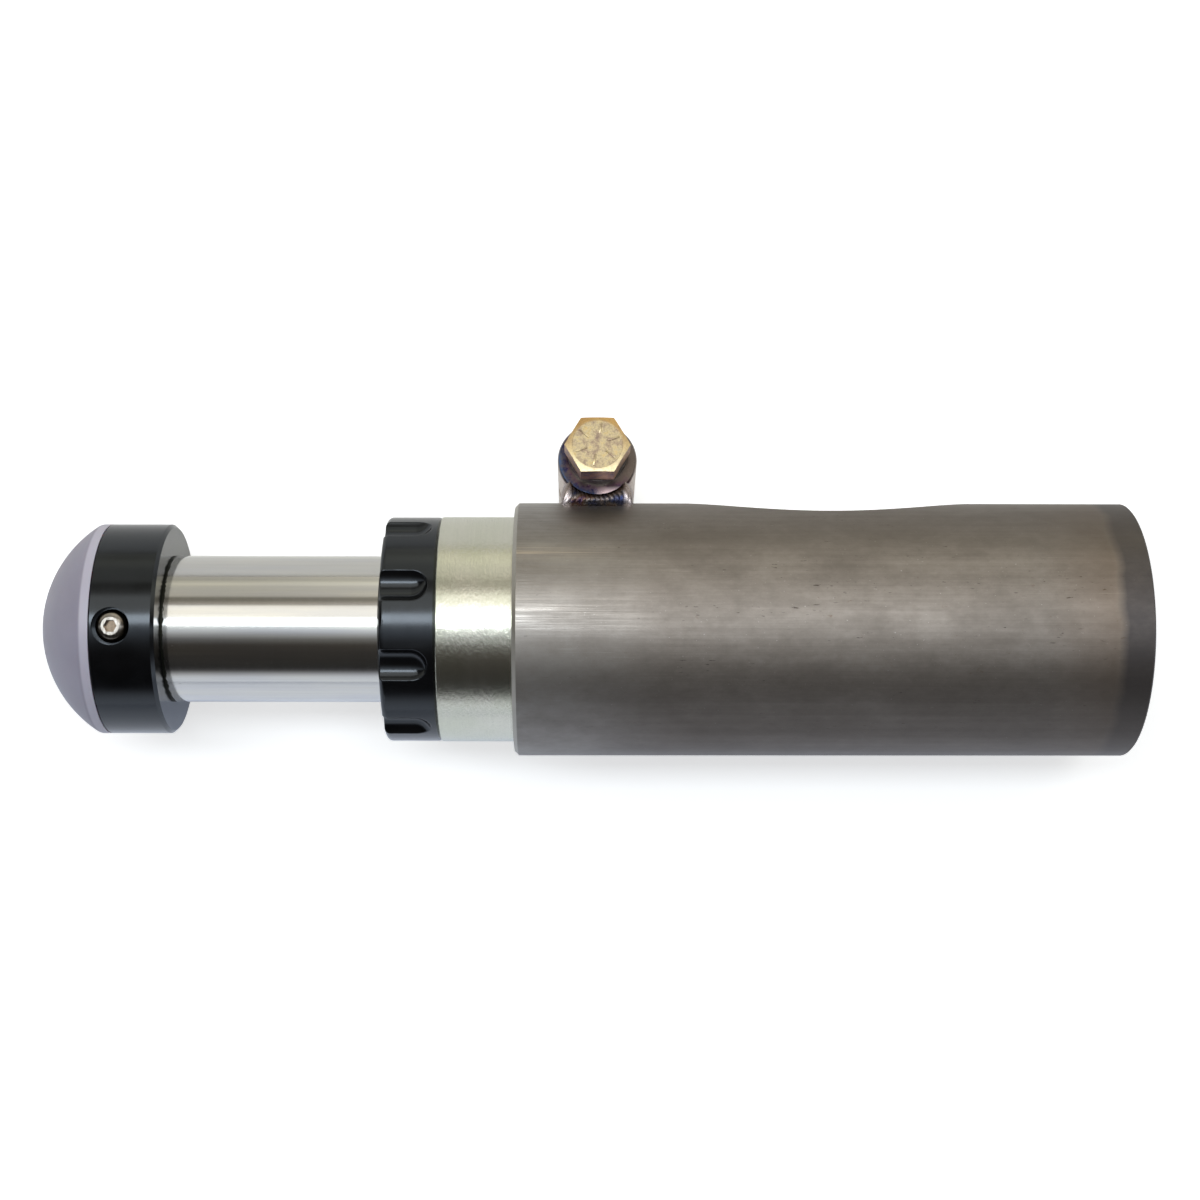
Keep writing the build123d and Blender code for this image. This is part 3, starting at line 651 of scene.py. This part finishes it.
def black_anodised():
    """Satin black anodising over turned aluminium, with faint tool rings."""
    f = Finish("black_anodised_finish", Specular_IOR_Level=0.62, Specular_Tint=(0.84, 0.92, 1.0, 1.0))
    rings = f.noise(4200, 40, 40, detail=3, roughness=0.6)
    cloud = f.noise(130, 130, 130, detail=4)
    colour = f.ramp(cloud, (0.35, srgb(5, 5, 6)), (0.65, srgb(10, 10, 12)))
    f.paint(colour, f.spread(f.plus(rings, cloud), 0.7, 1.3, 0.13, 0.20))
    f.bump(rings, 0.004 * mm, 0.25)
    return f.material


def shaft_chrome():
    """Ground and plated shaft with a fine grain round it, and a dark ragged seam at the cap."""
    f = Finish("shaft_chrome_finish", Metallic=1.0)
    x, y, z = f.xyz()
    cap_end = cap_high.x
    grain = f.noise(6500, 45, 45, detail=3, roughness=0.6)
    lengthwise = f.noise(14, 900, 900, detail=3, roughness=0.6)
    tint = f.noise(30, 260, 260, detail=2)
    colour = f.ramp(tint, (0.35, srgb(206, 205, 203)), (0.65, srgb(214, 212, 205)))
    colour = f.mix(f.spread(lengthwise, 0.45, 0.75, 0.0, 0.25), colour, srgb(180, 176, 172))

    ragged = f.wander(2.2 * mm, f.noise(800, 800, 800, detail=5, roughness=0.7))
    seam = f.spread(f.plus(x, ragged), cap_end + 0.75 * mm, cap_end + 0.6 * mm, 0.0, 0.97)
    speck = f.spread(f.noise(1700, 1700, 1700, detail=2), 0.68, 0.73)
    near_cap = f.spread(x, cap_end + 7 * mm, cap_end + 1 * mm, 0.0, 0.8)
    dirt = f.math("MAXIMUM", seam, f.times(speck, near_cap))
    colour = f.mix(dirt, colour, srgb(30, 32, 22))

    f.paint(colour, f.plus(f.spread(grain, 0.3, 0.7, 0.09, 0.15), f.times(dirt, 0.4)))
    f.bump(grain, 0.006 * mm, 0.2)
    return f.material


def pad_plastic():
    """Lavender-grey cast plastic, satin, with faint turning marks and a painted lit band at its edge, paler
    where the edge faces the lamp.
    """
    f = Finish("pad_plastic_finish", Subsurface_Weight=0.06, Subsurface_Scale=0.004)
    x, y, z = f.xyz()
    cloud = f.noise(60, 60, 60, detail=4)
    grain = f.noise(3000, 3000, 3000, detail=2)
    rings = f.noise(2600, 20, 20, detail=2)
    colour = f.ramp(cloud, (0.35, srgb(148, 144, 160)), (0.65, srgb(155, 151, 167)))
    # Painted light: the edge band is lightened where it faces the lamp
    painted_light_band = f.spread(x, cap_low.x - 2.6 * mm, cap_low.x - 2.1 * mm, 0.0, 0.6)
    f.paint(f.mix(painted_light_band, colour, srgb(206, 202, 216)), f.spread(grain, 0.3, 0.7, 0.38, 0.47))
    f.bump(f.plus(rings, f.times(grain, 0.5)), 0.012 * mm, 0.2)
    return f.material


def yellow_zinc():
    """Yellow chromate on the bolt: gold with pale and brown patches, orange and purple on the sides, and a
    chamfer whose colour is partly a painted reflection.
    """
    f = Finish("yellow_zinc_finish", Metallic=1.0)
    above, beside, from_centre = around_boss(f, bolt_to_axis)
    along = f.dot(along_bolt)
    patch = f.noise(420, 420, 420, detail=6, roughness=0.75)
    grain = f.noise(2300, 2300, 2300, detail=4, roughness=0.7)
    colour = f.ramp(patch, (0.32, srgb(222, 196, 138)), (0.47, srgb(216, 200, 162)),
                    (0.56, srgb(190, 170, 144)), (0.68, srgb(152, 132, 122)))

    # Chamfer colour: partly the chromate's gold, partly a painted reflection: cream on the near side where
    # it mirrors the lamp, orange-gold on the far side
    gold_and_lamp_reflection = f.ramp(f.spread(above, -4 * mm, 7 * mm), (0.0, srgb(226, 210, 168)), (1.0, srgb(226, 174, 92)))
    on_chamfer = f.spread(from_centre, bolt_face_radius - 0.5 * mm, bolt_face_radius + 0.2 * mm, 0.0, 0.65)
    colour = f.mix(on_chamfer, colour, gold_and_lamp_reflection)

    film = f.ramp(patch, (0.38, srgb(104, 98, 134)), (0.47, srgb(170, 130, 130)),
                  (0.56, srgb(206, 166, 138)))
    under_chamfer = f.spread(along, bolt_head_top - 0.5 * mm, bolt_head_top - 0.8 * mm, 0.0, 0.75)
    above_base = f.spread(along, bolt_head_base - 0.2 * mm, bolt_head_base)
    colour = f.mix(f.times(under_chamfer, above_base), colour, film)

    colour = f.mix(f.spread(grain, 0.5, 0.75, 0.0, 0.45), colour, srgb(120, 100, 76))
    f.paint(colour, f.spread(grain, 0.3, 0.7, 0.34, 0.5))
    f.bump(grain, 0.05 * mm, 0.45)
    return f.material


def screw_steel():
    """Bright button heads, with painted shade: browner and darker down in the socket and down the skirt."""
    f = Finish("screw_steel_finish", Metallic=1.0)
    x, y, z = f.xyz()
    # Painted shade: darker brown down in the socket and the skirt, deep in the counterbore
    low = f.spread(f.distance(y, z), cap_high.z - 0.25 * mm, cap_high.z - 0.8 * mm, 0.0, 0.85)
    grain = f.noise(1800, 300, 300, detail=4, roughness=0.6)
    colour = f.ramp(grain, (0.35, srgb(150, 144, 136)), (0.65, srgb(174, 168, 160)))
    f.paint(f.mix(low, colour, srgb(104, 88, 70)), f.spread(grain, 0.3, 0.7, 0.16, 0.26))
    f.bump(grain, 0.01 * mm, 0.3)
    return f.material


def plain_metal(name, light, dark, roughness):
    """A machined metal with fine grain in two near tones."""
    f = Finish(name, Metallic=1.0)
    grain = f.noise(1800, 300, 300, detail=4, roughness=0.6)
    rough = f.spread(grain, 0.3, 0.7, roughness, roughness + 0.1)
    f.paint(f.ramp(grain, (0.35, dark), (0.65, light)), rough)
    f.bump(grain, 0.01 * mm, 0.3)
    return f.material


def plain_polymer(name, light, dark, roughness):
    """A rubber or plastic with a faint moulded grain."""
    f = Finish(name)
    grain = f.noise(1400, 1400, 1400, detail=4, roughness=0.6)
    rough = f.spread(grain, 0.3, 0.7, roughness, roughness + 0.1)
    f.paint(f.ramp(grain, (0.35, dark), (0.65, light)), rough)
    f.bump(grain, 0.02 * mm, 0.3)
    return f.material


# Finishes by the record's slot, and for the nodes that differ from their slot
slot_finishes = {
    "raw_steel": raw_steel(),
    "weld_metal": weld_metal(),
    "yellow_zinc": yellow_zinc(),
    "dark_steel": plain_metal("dark_steel_finish", srgb(92, 90, 90), srgb(66, 64, 64), 0.32),
    "zinc_plate": zinc_plate(),
    "black_anodised": black_anodised(),
    "plain_aluminium": plain_metal("plain_aluminium_finish", srgb(214, 214, 216), srgb(196, 196, 198), 0.26),
    "chrome_plate": shaft_chrome(),
    "pad_plastic": pad_plastic(),
    "seal_rubber": plain_polymer("seal_rubber_finish", srgb(36, 36, 37), srgb(26, 26, 27), 0.6),
    "bearing_plastic": plain_polymer("bearing_plastic_finish", srgb(58, 60, 64), srgb(48, 50, 53), 0.45),
    "bronze": plain_metal("bronze_finish", srgb(196, 160, 104), srgb(172, 136, 84), 0.28),
    "spring_steel": plain_metal("spring_steel_finish", srgb(176, 178, 182), srgb(150, 152, 156), 0.24),
}
boss_finish = boss_steel()
node_finishes = {
    "clamp_boss_near": boss_finish,
    "clamp_boss_far": boss_finish,
    "pad_screws": screw_steel(),
}

for node_name, node_object in frame["nodes"].items():
    for material_slot in node_object.material_slots:
        slot_name = material_slot.material.name.split(".")[0]
        material_slot.material = node_finishes.get(node_name) or slot_finishes[slot_name]

weld_bead("boss_bead_near", "boss_weld_near", 1, slot_finishes["weld_metal"])
weld_bead("boss_bead_far", "boss_weld_far", -1, slot_finishes["weld_metal"])
pinch_bolt(slot_finishes["yellow_zinc"])
bolt_marks(slot_finishes["yellow_zinc"])


# Bench

bench_half = 3.0
bench_steps = 8
bench_glow = 0.56
near_radius = 0.45
far_radius = 1.3


def bench_finish():
    """White sheet with a glow for camera and mirrored rays: stronger far off, where less light falls."""
    f = Finish("bench_finish", Roughness=0.9, Specular_IOR_Level=0.1)
    x, y, z = f.xyz()
    tone = f.noise(3, 3, 3, detail=2)
    f.paint(f.ramp(tone, (0.4, srgb(238, 238, 238)), (0.6, srgb(241, 241, 241))))
    mirrored = f.ramp(f.spread(y, -30 * mm, 60 * mm), (0.0, (0.19, 0.23, 0.33, 1)),
                      (0.6, (0.16, 0.15, 0.12, 1)), (0.9, (0.02, 0.01, 0.0, 1)))
    white = f.mix(f.spread(f.distance(x, y), near_radius, far_radius), grey(bench_glow), grey(1))
    path = f.add("LightPath").outputs
    colour = f.mix(path["Is Camera Ray"], mirrored, white)
    seen = f.math("MAXIMUM", f.math("MAXIMUM", path["Is Camera Ray"], path["Is Glossy Ray"]),
                  path["Is Transmission Ray"])
    glow = f.add("Emission", {"Color": colour, "Strength": seen}).outputs[0]
    lit = f.add("AddShader", {0: f.shader.outputs[0], 1: glow}).outputs[0]
    f.tree.links.new(lit, f.tree.nodes["Material Output"].inputs["Surface"])
    return f.material


def bench_sheet():
    """A level sheet under the part, at the height of the can's underside."""
    mesh = bpy.data.meshes.new("bench")
    row = bench_steps + 1
    edges = [bench_half * (2 * i / bench_steps - 1) for i in range(row)]
    corners = [(x, y, bench) for y in edges for x in edges]
    faces = [(j * row + i, j * row + i + 1, (j + 1) * row + i + 1, (j + 1) * row + i)
             for j in range(bench_steps) for i in range(bench_steps)]
    mesh.from_pydata(corners, [], faces)
    sheet = bpy.data.objects.new("bench", mesh)
    bpy.context.scene.collection.objects.link(sheet)
    mesh.materials.append(bench_finish())


# Lights, placed by their angle from straight up over the part, towards +Y, in degrees

light_distance = 1.2


def softbox(name, from_angle, to_angle, low_x, high_x, radiance, tint):
    """A rectangular area light over the part, between two angles and two ends in X."""
    angle = radians((from_angle + to_angle) / 2)
    lamp = bpy.data.lights.new(name, "AREA")
    lamp.shape = "RECTANGLE"
    lamp.size = high_x - low_x
    lamp.size_y = 2 * light_distance * tan(radians((to_angle - from_angle) / 2))
    lamp.energy = radiance * pi * lamp.size * lamp.size_y
    lamp.color = tint
    light = bpy.data.objects.new(name, lamp)
    bpy.context.scene.collection.objects.link(light)
    light.location = ((low_x + high_x) / 2, light_distance * sin(angle), light_distance * cos(angle))
    light.rotation_euler = (-angle, 0, 0)
    light.visible_camera = False


# What the room shows at each angle
near_wall = ((-180, (0.80, 0.86, 0.96)), (-86, (0.80, 0.86, 0.96)), (-79, (0.68, 0.72, 0.79)),
             (-74.5, (0.44, 0.46, 0.50)))
dark_ceiling = ((-68, (0.07, 0.07, 0.075)), (-62, (0.03, 0.03, 0.03)), (-24, (0.05, 0.045, 0.04)),
                (-15, (0.14, 0.14, 0.14)), (-9, (0.33, 0.34, 0.36)), (-3, (0.56, 0.60, 0.66)))
beside_lamp = ((5, (0.90, 0.96, 1.0)),)
behind_lights = ((8, (0.03, 0.03, 0.03)), (36, (0.03, 0.03, 0.03)))
beside_panel = ((38.5, (0.50, 0.47, 0.42)), (44, (0.28, 0.26, 0.22)), (50, (0.17, 0.16, 0.13)))
far_wall = ((53.5, (0.58, 0.56, 0.50)), (68, (0.56, 0.55, 0.49)), (75, (0.74, 0.72, 0.62)),
            (79.5, (0.72, 0.70, 0.58)), (83, (0.47, 0.46, 0.39)), (92, (0.60, 0.58, 0.51)),
            (180, (0.60, 0.58, 0.52)))
room = near_wall + dark_ceiling + beside_lamp + behind_lights + beside_panel + far_wall


def studio_world():
    """The room by angle, a little brighter towards +X, and plain white for the camera."""
    world = bpy.data.worlds.new("studio")
    bpy.context.scene.world = world
    world.use_nodes = True
    w = Nodes(world.node_tree, "Generated")
    x, y, z = w.xyz()
    turn = w.spread(w.math("ARCTAN2", y, z), -pi, pi)
    colour = w.ramp(turn, *[((degrees + 180) / 360, (*shade, 1)) for degrees, shade in room])
    brightest = w.spread(y, -0.7, -0.3, 1.0, 1.45)
    strength = w.spread(x, -0.17, -0.07, 1.0, brightest)
    surroundings = w.add("Background", {"Color": colour, "Strength": strength}).outputs[0]
    white = w.add("Background", {"Color": grey(1)}).outputs[0]
    path = w.add("LightPath").outputs
    seen = w.add("MixShader", {0: path["Is Camera Ray"], 1: surroundings, 2: white}).outputs[0]
    w.tree.links.new(seen, w.tree.nodes["World Output"].inputs["Surface"])


def camera():
    """The photograph's view, nearly straight down on the part."""
    lens = bpy.data.cameras.new("camera")
    lens.sensor_width = 36
    lens.lens = 56.285
    view = bpy.data.objects.new("camera", lens)
    bpy.context.scene.collection.objects.link(view)
    view.location = (-153.05 * mm, 8.28 * mm, 532.4 * mm)
    view.rotation_euler = (0, -0.0104, 0.0014)
    bpy.context.scene.camera = view


bench_sheet()
studio_world()
softbox("panel", from_angle=16, to_angle=37, low_x=-1.30, high_x=0.60, radiance=1.35, tint=(1.0, 0.98, 0.92))
softbox("lamp", from_angle=6.5, to_angle=16, low_x=-1.10, high_x=0.28, radiance=7.5, tint=(0.89, 0.95, 1.0))
camera()
bpy.context.scene.view_settings.view_transform = "Standard"
